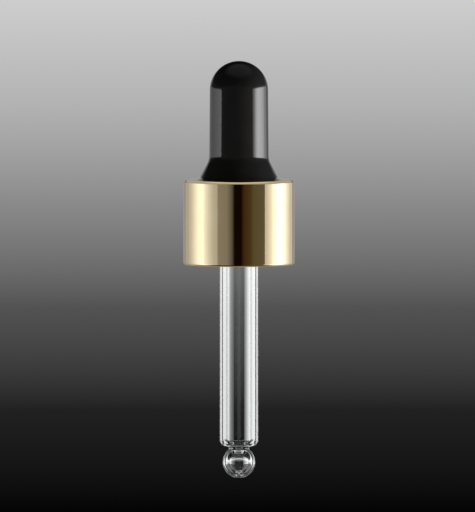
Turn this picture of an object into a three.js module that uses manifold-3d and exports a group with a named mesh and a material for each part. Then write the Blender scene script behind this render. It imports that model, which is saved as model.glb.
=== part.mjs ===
// A glass-pipette dropper for an 18 mm bottle neck: a rubber bulb, a gold aluminium collar over a
// threaded plastic cap, a sealing washer, and a glass pipette with a ball tip.
// Millimetres, +Z up. The origin lies on the axis, in the plane where the bottle's rim seals.
import * as THREE from "three";
import { mergeVertices } from "three/addons/utils/BufferGeometryUtils.js";
import Module from "manifold-3d";

const wasm = await Module();
wasm.setup();

// ---- Driving dimensions -------------------------------------------------------------------------

const SEGMENTS = 48; // facets round every turned piece, all in phase, so that nested walls keep their gap
const GAP = 0.05; // clearance between neighbouring pieces
const NECK_PITCH = 3.175; // thread pitch of an 18 mm bottle finish, 8 turns to the inch

const COLLAR = {
  top: 4.0, // height of the top's outer edge above the sealing plane
  height: 15.5, // from the bottom edge to the top's outer edge
  crown: 0.5, // how far the top rises from its outer edge to the bulb
  radius: 10.2,
  wall: 0.35,
  topThickness: 0.4,
  edge: 0.5, // rounding of the top and bottom edges
  rolledRim: 0.3, // how far the bottom edge is turned in under the cap
};

const WASHER = { thickness: 1.0, radius: 8.8, hole: 3.75 };

const CAP = {
  plate: 1.15, // thickness of the plate across the cap
  rootRadius: 9.05, // wall behind the thread
  crestRadius: 8.2, // crest of the thread ridge
  wallRadius: 9.5, // outside of the wall, between its ribs
  mouthChamfer: { width: 0.15, height: 0.5 },
  ribs: 24,
  ribWidth: 0.6,
  ribEnd: 0.5, // length at each end of the wall that the ribs leave bare
  threadTurns: 1.6,
  ridgeRoot: 1.5, // height of the thread ridge at the wall
  ridgeCrest: 0.5, // and at its crest
  threadStart: 1.4, // the ridge's lower end above the cap's mouth
  chimneyRadius: 4.5,
  chimneyTop: 6.4,
  chimneyChamfer: 0.3,
};

// A bead round the chimney, in a groove of the bulb's skirt, holds the bulb on.
const BEAD = { depth: 0.2, halfHeight: 0.3, z: 5.4 };

const BULB = {
  height: 21.8, // above the outer edge of the collar's top
  radius: 5.34, // dome and upper wall
  lowerRadius: 5.44, // the wall widens a little towards its foot
  baseRadius: 7.1, // foot of the cone, where it meets the collar
  coneHeight: 3.75, // top of the cone above the outer edge of the collar's top
  coneFillet: 3.0,
  wall: 1.4,
  flangeRadius: 8.85, // flange clamped under the collar's top
  gripTop: 8.6, // top of the lip that grips the glass
  gripBevel: 0.4,
};

const GLASS = {
  radius: 3.5,
  top: 8.4, // upper end of the pipette, inside the bulb
  rim: 0.625, // rounding of the upper rim, half the wall's thickness
  shoulder: { r: 2.45, z: -43.75, radius: 1.05 }, // rounding of the tube's lower end
  neckFillet: 0.45,
  ball: { r: 0, z: -47.75, radius: 2.95 },
  innerShoulder: { r: 1.35, z: -43.5, radius: 0.9 },
  innerNeckFillet: 1.1,
  cavity: { r: 0, z: -47.75, radius: 1.85 },
  orifice: 0.5,
  lip: 0.3, // rounding of the orifice's edges
};

// Sizes that follow from the ones above.
const COLLAR_BOTTOM = COLLAR.top - COLLAR.height;
const COLLAR_BORE = COLLAR.radius - COLLAR.wall;
const COLLAR_EDGE_R = COLLAR.radius - COLLAR.edge; // where the edge's rounding meets the top
const COLLAR_HOLE = BULB.baseRadius + GAP;
const LEDGE = COLLAR.top - COLLAR.topThickness; // underside of the top, at its outer edge
const CLAMP = LEDGE - GAP; // top of the cap's wall, and of the flange before the crown's rise
const PLATE_BOTTOM = WASHER.thickness + GAP;
const PLATE_TOP = PLATE_BOTTOM + CAP.plate;
const CAP_BOTTOM = COLLAR_BOTTOM + COLLAR.wall + GAP;
const RIB_RADIUS = COLLAR_BORE - GAP;
const GLASS_HOLE = GLASS.radius + GAP; // radius of every hole that holds the glass

// How far the collar's top has risen above its outer edge at a given radius.
function crownRise(r) {
  return (COLLAR.crown * (COLLAR_EDGE_R - r)) / (COLLAR_EDGE_R - COLLAR_HOLE);
}

// ---- Outlines, drawn in the plane of radius r and height z --------------------------------------

const { degToRad, radToDeg } = THREE.MathUtils;

const at = (r, z) => ({ r, z });

// Points along a circle {r, z, radius} between two angles in degrees, ends included.
function arc(circle, from, to, steps) {
  return Array.from({ length: steps + 1 }, (_, i) => {
    const angle = degToRad(from + ((to - from) * i) / steps);
    return at(circle.r + circle.radius * Math.cos(angle), circle.z + circle.radius * Math.sin(angle));
  });
}

const angleTo = (from, to) => radToDeg(Math.atan2(to.z - from.z, to.r - from.r));
const ANTICLOCKWISE = 1;
const CLOCKWISE = -1;

// Points along a circle, from the side that faces one point round to the side that faces another.
function arcFacing(circle, first, second, turn, steps) {
  const from = angleTo(circle, first);
  let to = angleTo(circle, second);
  if ((to - from) * turn < 0) to += 360 * turn;
  return arc(circle, from, to, steps);
}

// A fillet that touches an upper and a lower circle from outside, on the side away from the axis.
function filletBetween(upper, lower, radius) {
  const toUpper = upper.radius + radius;
  const toLower = lower.radius + radius;
  const distance = Math.hypot(upper.r - lower.r, upper.z - lower.z);
  const unit = at((upper.r - lower.r) / distance, (upper.z - lower.z) / distance);
  const along = (toLower ** 2 - toUpper ** 2 + distance ** 2) / (2 * distance);
  const aside = Math.sqrt(toLower ** 2 - along ** 2);
  const r = lower.r + unit.r * along + unit.z * aside;
  const z = lower.z + unit.z * along - unit.r * aside;
  return { r, z, radius };
}

// A closed outline turned about the Z axis. It runs anticlockwise, with z upwards.
function turned(outline) {
  const points = [...outline, outline[0]].map(({ r, z }) => new THREE.Vector2(r, z));
  return new THREE.LatheGeometry(points, SEGMENTS).rotateX(Math.PI / 2);
}

// ---- Solids for the boolean operations ----------------------------------------------------------

function toSolid(geometry) {
  const bare = geometry.clone();
  bare.deleteAttribute("normal");
  bare.deleteAttribute("uv");
  const merged = mergeVertices(bare, 1e-4);
  const vertProperties = merged.attributes.position.array;
  const triVerts = new Uint32Array(merged.index.array);
  return new wasm.Manifold(new wasm.Mesh({ numProp: 3, vertProperties, triVerts }));
}

function toGeometry(solid) {
  const mesh = solid.getMesh();
  const geometry = new THREE.BufferGeometry();
  geometry.setAttribute("position", new THREE.BufferAttribute(mesh.vertProperties, 3));
  geometry.setIndex(new THREE.BufferAttribute(mesh.triVerts, 1));
  return geometry;
}

// ---- The pieces ---------------------------------------------------------------------------------

// Rubber bulb: a hollow teat on a cone. Its flange is clamped under the collar's top, its skirt
// sits over the cap's chimney, and the lip above the chimney grips the glass.
function bulb() {
  const domeZ = COLLAR.top + BULB.height - BULB.radius;
  const dome = { r: 0, z: domeZ, radius: BULB.radius };
  const chamber = { r: 0, z: domeZ, radius: BULB.radius - BULB.wall };
  // The concave fillet starts this far above the corner between the wall and the cone.
  const coneRun = BULB.baseRadius - BULB.lowerRadius;
  const slope = radToDeg(Math.atan2(coneRun, BULB.coneHeight - COLLAR.crown));
  const reach = BULB.coneFillet * Math.tan(degToRad(slope / 2));
  const fillet = {
    r: BULB.lowerRadius + BULB.coneFillet,
    z: COLLAR.top + BULB.coneHeight + reach,
    radius: BULB.coneFillet,
  };
  const skirt = CAP.chimneyRadius + GAP;
  return turned([
    at(skirt, PLATE_TOP + GAP),
    at(BULB.flangeRadius, PLATE_TOP + GAP),
    at(BULB.flangeRadius, CLAMP + crownRise(BULB.flangeRadius)),
    at(BULB.baseRadius, CLAMP + crownRise(BULB.baseRadius)),
    at(BULB.baseRadius, COLLAR.top + COLLAR.crown),
    ...arc(fillet, 180 + slope, 180, 4),
    ...arc(dome, 0, 90, 12),
    ...arc(chamber, 90, 0, 8),
    at(chamber.radius, BULB.gripTop + BULB.gripBevel),
    at(GLASS_HOLE, BULB.gripTop),
    at(GLASS_HOLE, CAP.chimneyTop + GAP),
    at(skirt, CAP.chimneyTop + GAP),
    at(skirt, BEAD.z + BEAD.halfHeight),
    at(skirt + BEAD.depth, BEAD.z),
    at(skirt, BEAD.z - BEAD.halfHeight),
  ]);
}

// Gold collar: a thin drawn shell, open below. Its top rises gently to a hole for the bulb, and
// its bottom edge is rolled in under the cap.
function collarShell() {
  const bottomEdge = { r: COLLAR_EDGE_R, z: COLLAR_BOTTOM + COLLAR.edge, radius: COLLAR.edge };
  const topEdge = { r: COLLAR_EDGE_R, z: COLLAR.top - COLLAR.edge, radius: COLLAR.edge };
  const innerEdge = COLLAR.edge - COLLAR.wall;
  const rolledRadius = COLLAR_BORE - COLLAR.rolledRim;
  return turned([
    at(rolledRadius, COLLAR_BOTTOM),
    ...arc(bottomEdge, -90, 0, 4),
    ...arc(topEdge, 0, 90, 4),
    at(COLLAR_HOLE, COLLAR.top + COLLAR.crown),
    at(COLLAR_HOLE, LEDGE + COLLAR.crown),
    at(COLLAR_BORE - innerEdge, LEDGE),
    at(COLLAR_BORE, LEDGE - innerEdge),
    at(COLLAR_BORE, COLLAR_BOTTOM + COLLAR.wall),
    at(rolledRadius, COLLAR_BOTTOM + COLLAR.wall),
  ]);
}

// The thread: one ridge that climbs the cap's inner wall and fades out at both ends.
function threadRidge() {
  const stepsPerTurn = 36;
  const steps = Math.round(CAP.threadTurns * stepsPerTurn);
  const depth = CAP.rootRadius - CAP.crestRadius;
  const buried = CAP.rootRadius + 0.2; // the ridge starts inside the wall
  const fade = 0.12; // share of the ridge's length over which each end rises
  const lowest = 0.05; // share of its depth that the ridge keeps at its very ends
  const positions = [];
  for (let i = 0; i <= steps; i++) {
    const turns = i / stepsPerTurn;
    const share = i / steps;
    const rise = Math.max(lowest, Math.min(1, share / fade, (1 - share) / fade));
    const crest = CAP.rootRadius - depth * rise;
    const middle = CAP_BOTTOM + CAP.threadStart + turns * NECK_PITCH;
    const section = [
      at(buried, -CAP.ridgeRoot / 2),
      at(buried, CAP.ridgeRoot / 2),
      at(crest, CAP.ridgeCrest / 2),
      at(crest, -CAP.ridgeCrest / 2),
    ];
    const angle = turns * 2 * Math.PI;
    for (const { r, z } of section) positions.push(r * Math.cos(angle), r * Math.sin(angle), middle + z);
  }
  const corner = (i, k) => i * 4 + (k % 4);
  const faces = [0, 1, 2, 0, 2, 3];
  for (let i = 0; i < steps; i++)
    for (let k = 0; k < 4; k++) {
      faces.push(corner(i, k), corner(i + 1, k), corner(i + 1, k + 1));
      faces.push(corner(i, k), corner(i + 1, k + 1), corner(i, k + 1));
    }
  faces.push(corner(steps, 0), corner(steps, 2), corner(steps, 1));
  faces.push(corner(steps, 0), corner(steps, 3), corner(steps, 2));
  const geometry = new THREE.BufferGeometry();
  geometry.setAttribute("position", new THREE.Float32BufferAttribute(positions, 3));
  geometry.setIndex(faces);
  return geometry;
}

// One upright rib on the outside of the cap's wall. Its inner half lies inside the wall.
function wallRib(angle) {
  const depth = RIB_RADIUS - CAP.wallRadius;
  const bottom = CAP_BOTTOM + CAP.ribEnd;
  const top = CLAMP - CAP.ribEnd;
  return new THREE.BoxGeometry(2 * depth, CAP.ribWidth, top - bottom)
    .translate(CAP.wallRadius, 0, (top + bottom) / 2)
    .rotateZ(angle);
}

// Threaded cap: a plastic cup with the bottle's thread inside, a chimney that guides the glass,
// and ribs outside that the collar is pressed over.
function threadedCap() {
  const cup = turned([
    at(GLASS_HOLE, PLATE_BOTTOM),
    at(CAP.rootRadius, PLATE_BOTTOM),
    at(CAP.rootRadius, CAP_BOTTOM + CAP.mouthChamfer.height),
    at(CAP.rootRadius + CAP.mouthChamfer.width, CAP_BOTTOM),
    at(CAP.wallRadius, CAP_BOTTOM),
    at(CAP.wallRadius, CLAMP),
    at(CAP.rootRadius, CLAMP),
    at(CAP.rootRadius, PLATE_TOP),
    at(CAP.chimneyRadius, PLATE_TOP),
    at(CAP.chimneyRadius, BEAD.z - BEAD.halfHeight),
    at(CAP.chimneyRadius + BEAD.depth, BEAD.z),
    at(CAP.chimneyRadius, BEAD.z + BEAD.halfHeight),
    at(CAP.chimneyRadius, CAP.chimneyTop - CAP.chimneyChamfer),
    at(CAP.chimneyRadius - CAP.chimneyChamfer, CAP.chimneyTop),
    at(GLASS_HOLE, CAP.chimneyTop),
  ]);
  let cap = toSolid(cup).add(toSolid(threadRidge()));
  for (let i = 0; i < CAP.ribs; i++) cap = cap.add(toSolid(wallRib((i / CAP.ribs) * 2 * Math.PI)));
  return toGeometry(cap);
}

// Soft washer between the cap's plate and the bottle's rim.
function sealingWasher() {
  return turned([
    at(WASHER.hole, 0),
    at(WASHER.radius, 0),
    at(WASHER.radius, WASHER.thickness),
    at(WASHER.hole, WASHER.thickness),
  ]);
}

// Where the small rounding of the orifice's edge sits, at a given distance from the ball's centre.
function orificeLip(distance) {
  const r = GLASS.orifice + GLASS.lip;
  return { r, z: GLASS.ball.z - Math.sqrt(distance ** 2 - r ** 2), radius: GLASS.lip };
}

// Glass pipette: a straight tube, necked near its lower end into a hollow ball with a small
// orifice. Its upper rim is rounded by fire polishing.
function pipette() {
  const { shoulder, ball, innerShoulder, cavity } = GLASS;
  const neck = filletBetween(shoulder, ball, GLASS.neckFillet);
  const innerNeck = filletBetween(innerShoulder, cavity, GLASS.innerNeckFillet);
  const outerLip = orificeLip(ball.radius - GLASS.lip);
  const innerLip = orificeLip(cavity.radius + GLASS.lip);
  const upperRim = { r: GLASS.radius - GLASS.rim, z: GLASS.top - GLASS.rim, radius: GLASS.rim };
  const axisSide = ({ r, z }) => at(r - 1, z);
  const wallSide = ({ r, z }) => at(r + 1, z);
  // The ball's arc ends behind its lip, on the line from the ball's centre through the lip's.
  const beyond = (lip) => at(2 * lip.r - ball.r, 2 * lip.z - ball.z);
  return turned([
    // outside, from the orifice up to the rim
    ...arcFacing(outerLip, axisSide(outerLip), beyond(outerLip), ANTICLOCKWISE, 3),
    ...arcFacing(ball, outerLip, neck, ANTICLOCKWISE, 12),
    ...arcFacing(neck, ball, shoulder, CLOCKWISE, 4),
    ...arcFacing(shoulder, neck, wallSide(shoulder), ANTICLOCKWISE, 5),
    ...arc(upperRim, 0, 180, 4),
    // inside, from the rim down to the orifice
    ...arcFacing(innerShoulder, wallSide(innerShoulder), innerNeck, CLOCKWISE, 4),
    ...arcFacing(innerNeck, innerShoulder, cavity, ANTICLOCKWISE, 5),
    ...arcFacing(cavity, innerNeck, innerLip, CLOCKWISE, 8),
    ...arcFacing(innerLip, cavity, axisSide(innerLip), ANTICLOCKWISE, 3),
  ]);
}

// ---- Assembly -----------------------------------------------------------------------------------

const finish = (color, roughness, metalness = 0) =>
  new THREE.MeshStandardMaterial({ color, roughness, metalness });

const blackRubber = finish(0x161616, 0.3);
const goldAluminium = finish(0xd9bf86, 0.12, 1);
const whitePlastic = finish(0xeceae4, 0.4);
const washerFoam = finish(0xf4f4f2, 0.8);
const clearGlass = finish(0xe8eef0, 0.02);
clearGlass.transparent = true;
clearGlass.opacity = 0.35;

const dropper = new THREE.Group();
dropper.name = "dropper";

function addPiece(name, geometry, material) {
  const mesh = new THREE.Mesh(geometry, material);
  mesh.name = name;
  dropper.add(mesh);
}

addPiece("bulb", bulb(), blackRubber);
addPiece("collar_shell", collarShell(), goldAluminium);
addPiece("threaded_cap", threadedCap(), whitePlastic);
addPiece("sealing_washer", sealingWasher(), washerFoam);
addPiece("pipette", pipette(), clearGlass);

export default dropper;
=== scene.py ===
# %% [markdown]
# # A medicine dropper: rubber bulb, gold collar, glass pipette
#
# This lesson builds the looks of a bottle dropper around a imported CAD frame. Five pieces are
# modelled: the black rubber bulb, the gold collar shell, the threaded plastic cap inside it, the
# sealing washer and the glass pipette with its ball tip. Each one stands for the CAD solid of the
# same part, and all but the bulb move with that part's body, so the joints keep working.
#
# The frame comes first. Its overall box is kept from the start.

import math

import bpy
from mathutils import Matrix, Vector


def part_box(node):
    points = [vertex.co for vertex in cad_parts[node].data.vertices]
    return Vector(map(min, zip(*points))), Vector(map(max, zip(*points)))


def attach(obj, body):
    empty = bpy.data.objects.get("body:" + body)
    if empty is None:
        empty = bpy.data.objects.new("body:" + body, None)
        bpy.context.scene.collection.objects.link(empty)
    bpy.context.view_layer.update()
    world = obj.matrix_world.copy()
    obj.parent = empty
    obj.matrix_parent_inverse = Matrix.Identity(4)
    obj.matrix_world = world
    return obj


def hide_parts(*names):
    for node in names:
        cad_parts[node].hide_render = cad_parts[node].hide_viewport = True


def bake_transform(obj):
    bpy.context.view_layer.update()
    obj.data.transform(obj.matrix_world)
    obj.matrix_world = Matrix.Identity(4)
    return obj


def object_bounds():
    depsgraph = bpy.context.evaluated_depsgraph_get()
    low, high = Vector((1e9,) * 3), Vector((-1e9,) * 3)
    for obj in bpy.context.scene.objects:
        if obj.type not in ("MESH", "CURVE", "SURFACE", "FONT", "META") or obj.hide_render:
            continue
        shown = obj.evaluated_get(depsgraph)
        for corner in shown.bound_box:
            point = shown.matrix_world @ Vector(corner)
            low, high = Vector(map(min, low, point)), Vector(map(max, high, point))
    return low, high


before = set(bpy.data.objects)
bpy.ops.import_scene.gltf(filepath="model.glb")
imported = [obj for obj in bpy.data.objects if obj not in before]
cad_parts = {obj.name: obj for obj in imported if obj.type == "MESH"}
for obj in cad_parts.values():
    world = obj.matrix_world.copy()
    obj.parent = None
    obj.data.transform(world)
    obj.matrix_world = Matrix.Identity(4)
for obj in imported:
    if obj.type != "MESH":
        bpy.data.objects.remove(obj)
cad_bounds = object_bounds()
print("CAD box:", cad_bounds)

# %% [markdown]
# ## Sizes
#
# Blender works in metres here, while a dropper is measured in millimetres, so one constant turns
# millimetres into metres. The overall sizes are read from the frame's own boxes.
# That way a change in the design moves the looks with it, and nothing has to be fitted by eye.

# %% Read the main sizes
MM = 0.001
GAP = 0.05 * MM
ROUND = 96  # edges round a turned piece: smooth even in the collar's mirror finish

bulb_low, bulb_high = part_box("bulb")
shell_low, shell_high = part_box("collar_shell")
cap_low, cap_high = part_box("threaded_cap")
washer_low, washer_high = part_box("sealing_washer")
pipette_low, pipette_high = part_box("pipette")

CROWN = 0.5 * MM  # the collar's top rises this far from its edge to the bulb
collar_top = shell_high.z - CROWN
collar_radius = shell_high.x
print("bulb above the collar's edge:", round((bulb_high.z - collar_top) / MM, 2), "mm")
print("pipette:", round((pipette_high.z - pipette_low.z) / MM, 2), "mm long")

# %% [markdown]
# ## Working by hand, in code
#
# An operator acts on whatever is selected, just as it does under the mouse. So the helpers below
# do what a hand would do: deselect everything, enter edit mode, and pick rings of vertices by
# their radius and height. A turned piece is then a ring of edges that is extruded again and again
# to a new radius and height, like a pot growing on a wheel.

# %% Selection and extrusion helpers
TOUCH = 0.5e-6  # two points closer than this are the same point


def start_fresh():
    if bpy.context.mode != "OBJECT":
        bpy.ops.object.mode_set(mode="OBJECT")
    bpy.ops.object.select_all(action="DESELECT")


def select_where(piece, test):
    """Selects, in edit mode, the vertices whose place passes the test."""
    bpy.ops.object.mode_set(mode="EDIT")
    bpy.ops.mesh.select_mode(type="VERT")
    bpy.ops.mesh.select_all(action="DESELECT")
    bpy.ops.object.mode_set(mode="OBJECT")
    for vertex in piece.data.vertices:
        vertex.select = test(vertex.co)
    bpy.ops.object.mode_set(mode="EDIT")


def select_rings(piece, *rings):
    """Selects whole rings of a turned piece, each given by its radius and height."""

    def on_a_ring(co):
        radius = math.hypot(co.x, co.y)
        return any(abs(radius - r) < 20 * TOUCH and abs(co.z - z) < 20 * TOUCH for r, z in rings)

    select_where(piece, on_a_ring)


def pull_ring(start, *stops):
    """Extrudes the selected ring from its start (radius, height) through each stop in turn."""
    radius, height = start
    for new_radius, new_height in stops:
        bpy.ops.mesh.extrude_region_move(TRANSFORM_OT_translate={"value": (0, 0, new_height - height)})
        if abs(new_radius - radius) > TOUCH:
            factor = new_radius / radius
            bpy.ops.transform.resize(value=(factor, factor, 1), center_override=(0, 0, new_height))
        radius, height = new_radius, new_height


def round_ring(piece, ring, reach, segments=4):
    """Bevels one ring of edges: the rounding reaches this far from the corner on both sides."""
    select_rings(piece, ring)
    bpy.ops.mesh.select_mode(type="EDGE")
    bpy.ops.mesh.bevel(offset=reach, segments=segments, affect="EDGES", clamp_overlap=False)
    bpy.ops.mesh.select_mode(type="VERT")


def finish_piece(piece, sharp_degrees=40):
    """Merges doubles, turns the faces outwards and smooths everything but real corners."""
    bpy.ops.object.mode_set(mode="EDIT")
    bpy.ops.mesh.select_all(action="SELECT")
    bpy.ops.mesh.remove_doubles(threshold=TOUCH)
    bpy.ops.mesh.normals_make_consistent(inside=False)
    bpy.ops.object.mode_set(mode="OBJECT")
    bpy.ops.object.transform_apply(location=True, rotation=True, scale=True)
    bpy.ops.object.shade_smooth_by_angle(angle=math.radians(sharp_degrees))
    print(piece.name, "has", len(piece.data.polygons), "faces")


# %% [markdown]
# ## The rubber bulb
#
# The bulb is one hollow rubber moulding: a dome, a wall that widens a little towards its foot, a
# cone, and a flange that the collar clamps. It starts as a UV sphere, because half of it is the
# dome. Bisecting at the equator leaves an open rim, and that rim is pulled down the wall, over
# the cone and under the collar, then up again inside as the skirt, the lip that grips the glass
# and the air chamber. A closed wall of real thickness makes the piece right from below as well.

# %% Measure the rubber bulb
WALL = 1.4 * MM
DOME_RADIUS = 5.34 * MM
FOOT_RADIUS = 5.44 * MM
CONE_RADIUS = 7.1 * MM
CONE_HEIGHT = 3.75 * MM
CONE_FILLET = 3.0 * MM
CHIMNEY_RADIUS = 4.5 * MM
BEAD = {"depth": 0.2 * MM, "half": 0.3 * MM, "z": 5.4 * MM}
GLASS_HOLE = 3.55 * MM
LIP_TOP = 8.6 * MM
LIP_BEVEL = 0.4 * MM
TOP_SHEET = 0.4 * MM  # thickness of the collar's top, which clamps the flange
EDGE = 0.5 * MM  # rounding of the collar's edges

dome_z = bulb_high.z - DOME_RADIUS
cone_top = collar_top + CONE_HEIGHT
flange_radius = bulb_high.x
flange_top = collar_top - TOP_SHEET - GAP
hole_radius = CONE_RADIUS + GAP
skirt = CHIMNEY_RADIUS + GAP
chimney_top = cap_high.z
chamber = DOME_RADIUS - WALL


def crown_rise(radius):
    """How far the collar's top has risen above its edge at this radius."""
    edge_radius = collar_radius - EDGE
    return CROWN * (edge_radius - radius) / (edge_radius - hole_radius)


flange_corner = (flange_radius, flange_top + crown_rise(flange_radius))
print("dome starts at", round(dome_z / MM, 2), "mm, cone at", round(cone_top / MM, 2), "mm")

# %% [markdown]
# The upper half of a UV sphere is the dome. Below its equator the ring is pulled down the wall in
# many short steps, because this wall bends when the bulb is squeezed. Then come the cone, the
# flange under the collar, and the skirt inside, with the groove that snaps over the cap's bead.

# %% Pull the bulb's outside from the dome
WALL_STEPS = 12


def along(start, end, steps):
    """Rings spread evenly from one (radius, height) to another, without the first."""
    return [
        tuple(first + (last - first) * step / steps for first, last in zip(start, end))
        for step in range(1, steps + 1)
    ]


start_fresh()
bpy.ops.mesh.primitive_uv_sphere_add(
    segments=ROUND, ring_count=48, radius=DOME_RADIUS, location=(0, 0, dome_z)
)
rubber_bulb = bpy.context.object
rubber_bulb.name = "rubber_bulb"
bpy.ops.object.transform_apply(location=True)
bpy.ops.object.mode_set(mode="EDIT")
bpy.ops.mesh.select_all(action="SELECT")
bpy.ops.mesh.bisect(
    plane_co=(0, 0, dome_z), plane_no=(0, 0, 1), clear_inner=True, threshold=TOUCH
)
select_rings(rubber_bulb, (DOME_RADIUS, dome_z))
pull_ring(
    (DOME_RADIUS, dome_z),
    *along((DOME_RADIUS, dome_z), (FOOT_RADIUS, cone_top), WALL_STEPS),
    (CONE_RADIUS, collar_top + CROWN),
    (CONE_RADIUS, flange_top + crown_rise(CONE_RADIUS)),
    flange_corner,
    (flange_radius, bulb_low.z),
    (skirt, bulb_low.z),
    (skirt, BEAD["z"] - BEAD["half"]),
    (skirt + BEAD["depth"], BEAD["z"]),
    (skirt, BEAD["z"] + BEAD["half"]),
    (skirt, chimney_top + GAP),
    (GLASS_HOLE, chimney_top + GAP),
    (GLASS_HOLE, LIP_TOP),
)
print("outside pulled down to", round(bulb_low.z / MM, 2), "mm and up to the lip")

# %% [markdown]
# Above the lip the ring widens into the air chamber. It climbs in the same short steps as the
# outside, then closes into the inner dome. The last ring is drawn together into one point, so the
# chamber is sealed except for the glass.

# %% Close the air chamber
DOME_STEPS = 16
chamber_low = (chamber, LIP_TOP + LIP_BEVEL)
inner_dome = [
    (
        chamber * math.cos(math.pi / 2 * step / DOME_STEPS),
        dome_z + chamber * math.sin(math.pi / 2 * step / DOME_STEPS),
    )
    for step in range(1, DOME_STEPS)
]
pull_ring(
    (GLASS_HOLE, LIP_TOP), chamber_low, *along(chamber_low, (chamber, dome_z), WALL_STEPS), *inner_dome
)
bpy.ops.mesh.extrude_region_move(
    TRANSFORM_OT_translate={"value": (0, 0, dome_z + chamber - inner_dome[-1][1])}
)
bpy.ops.mesh.merge(type="CENTER")
print("chamber is", round(2 * chamber / MM, 2), "mm wide")

# %% [markdown]
# Where the wall turns into the cone, the mould leaves a soft hollow curve. Beveling that one ring
# of edges gives it. The reach of a fillet on a shallow corner is its radius times the tangent of
# half the turn. The edge where the rubber comes out of the collar is eased as well.

# %% Round the bulb's corners
turn = math.atan2(CONE_RADIUS - FOOT_RADIUS, CONE_HEIGHT - CROWN)
round_ring(rubber_bulb, (FOOT_RADIUS, cone_top), CONE_FILLET * math.tan(turn / 2), segments=8)
FLANGE_EASE = 0.15 * MM
round_ring(rubber_bulb, flange_corner, FLANGE_EASE, segments=3)
round_ring(rubber_bulb, (flange_radius, bulb_low.z), FLANGE_EASE, segments=3)
finish_piece(rubber_bulb, sharp_degrees=30)

# %% [markdown]
# ## The collar shell
#
# The collar is a thin aluminium cup, deep drawn, polished and anodised gold, turned upside down
# over the plastic cap. A cylinder gives its outside. Its top face is inset in steps that climb a
# little towards the hole for the bulb, and its bottom rim is turned in by a fraction of a
# millimetre, as the crimping tool does it. Both corners are beveled. A ring stays close to each
# bend: it holds the shading of the long faces flat, which a mirror finish needs.

# %% Model the collar shell
SHEET = 0.35 * MM
ROLLED_IN = 0.65 * MM
HOLD = 0.1 * MM  # distance from a bent edge to the ring that keeps the next face flat

start_fresh()
bpy.ops.mesh.primitive_cylinder_add(
    vertices=2 * ROUND,
    radius=collar_radius,
    depth=collar_top - shell_low.z,
    location=(0, 0, (collar_top + shell_low.z) / 2),
)
gold_shell = bpy.context.object
gold_shell.name = "gold_shell"
bpy.ops.object.transform_apply(location=True)
select_rings(gold_shell, (collar_radius, collar_top))
radius, rise = collar_radius, 0
for next_radius in (collar_radius - EDGE - HOLD, hole_radius + 2 * HOLD, hole_radius):
    climb = crown_rise(next_radius) - rise
    bpy.ops.mesh.inset(thickness=radius - next_radius, depth=climb)
    radius, rise = next_radius, rise + climb
bpy.ops.mesh.delete(type="FACE")
for height in (collar_top - EDGE - HOLD, shell_low.z + EDGE + HOLD):
    bpy.ops.mesh.select_all(action="SELECT")
    bpy.ops.mesh.bisect(plane_co=(0, 0, height), plane_no=(0, 0, 1), threshold=TOUCH)
select_rings(gold_shell, (collar_radius, shell_low.z))
bpy.ops.mesh.inset(thickness=ROLLED_IN, depth=0)
bpy.ops.mesh.delete(type="FACE")
round_ring(gold_shell, (collar_radius, collar_top), EDGE, segments=8)
round_ring(gold_shell, (collar_radius, shell_low.z), EDGE, segments=8)
finish_piece(gold_shell)

# %% [markdown]
# A Solidify modifier gives the sheet its thickness inwards, so that the outside keeps its size. A
# cut edge of sheet metal is never razor sharp, so a Bevel modifier then takes a hair off the rim
# of the hole and the rolled edge, where light would otherwise vanish.


# %% Give the sheet its thickness
def apply_modifier(piece, kind, **settings):
    modifier = piece.modifiers.new(kind.title(), kind)
    for name, value in settings.items():
        setattr(modifier, name, value)
    bpy.context.view_layer.objects.active = piece
    bpy.ops.object.modifier_apply(modifier=modifier.name)


CUT_EASE = 0.06 * MM
apply_modifier(gold_shell, "SOLIDIFY", thickness=SHEET, offset=-1, use_even_offset=True)
apply_modifier(
    gold_shell, "BEVEL", width=CUT_EASE, segments=2, limit_method="ANGLE", angle_limit=math.radians(60)
)
finish_piece(gold_shell)

# %% [markdown]
# ## The threaded cap
#
# Under the gold lies a plastic cup that does the work: a plate with a chimney for the glass, a
# wall, and the bottle's thread inside. It is pulled from one ring like the bulb, but it closes on
# itself, so its last ring is bridged to the first. Its edges are eased as a mould would ease them.

# %% Model the cap's cup
PLATE_LOW = 1.05 * MM
PLATE_HIGH = 2.2 * MM
ROOT_RADIUS = 9.05 * MM
CAP_RADIUS = 9.5 * MM
MOUTH = {"width": 0.15 * MM, "height": 0.5 * MM}
CHIMNEY_CHAMFER = 0.3 * MM
PLATE_EASE = 0.2 * MM

start_fresh()
bpy.ops.mesh.primitive_circle_add(vertices=ROUND, radius=GLASS_HOLE, location=(0, 0, PLATE_LOW))
plastic_cap = bpy.context.object
plastic_cap.name = "plastic_cap"
bpy.ops.object.transform_apply(location=True)
bpy.ops.object.mode_set(mode="EDIT")
bpy.ops.mesh.select_all(action="SELECT")
pull_ring(
    (GLASS_HOLE, PLATE_LOW),
    (ROOT_RADIUS, PLATE_LOW),
    (ROOT_RADIUS, cap_low.z + MOUTH["height"]),
    (ROOT_RADIUS + MOUTH["width"], cap_low.z),
    (CAP_RADIUS, cap_low.z),
    (CAP_RADIUS, flange_top),
    (ROOT_RADIUS, flange_top),
    (ROOT_RADIUS, PLATE_HIGH),
    (CHIMNEY_RADIUS, PLATE_HIGH),
    (CHIMNEY_RADIUS, BEAD["z"] - BEAD["half"]),
    (CHIMNEY_RADIUS + BEAD["depth"], BEAD["z"]),
    (CHIMNEY_RADIUS, BEAD["z"] + BEAD["half"]),
    (CHIMNEY_RADIUS, cap_high.z - CHIMNEY_CHAMFER),
    (CHIMNEY_RADIUS - CHIMNEY_CHAMFER, cap_high.z),
    (GLASS_HOLE, cap_high.z),
)
select_rings(plastic_cap, (GLASS_HOLE, cap_high.z), (GLASS_HOLE, PLATE_LOW))
bpy.ops.mesh.select_mode(type="EDGE")
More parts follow.
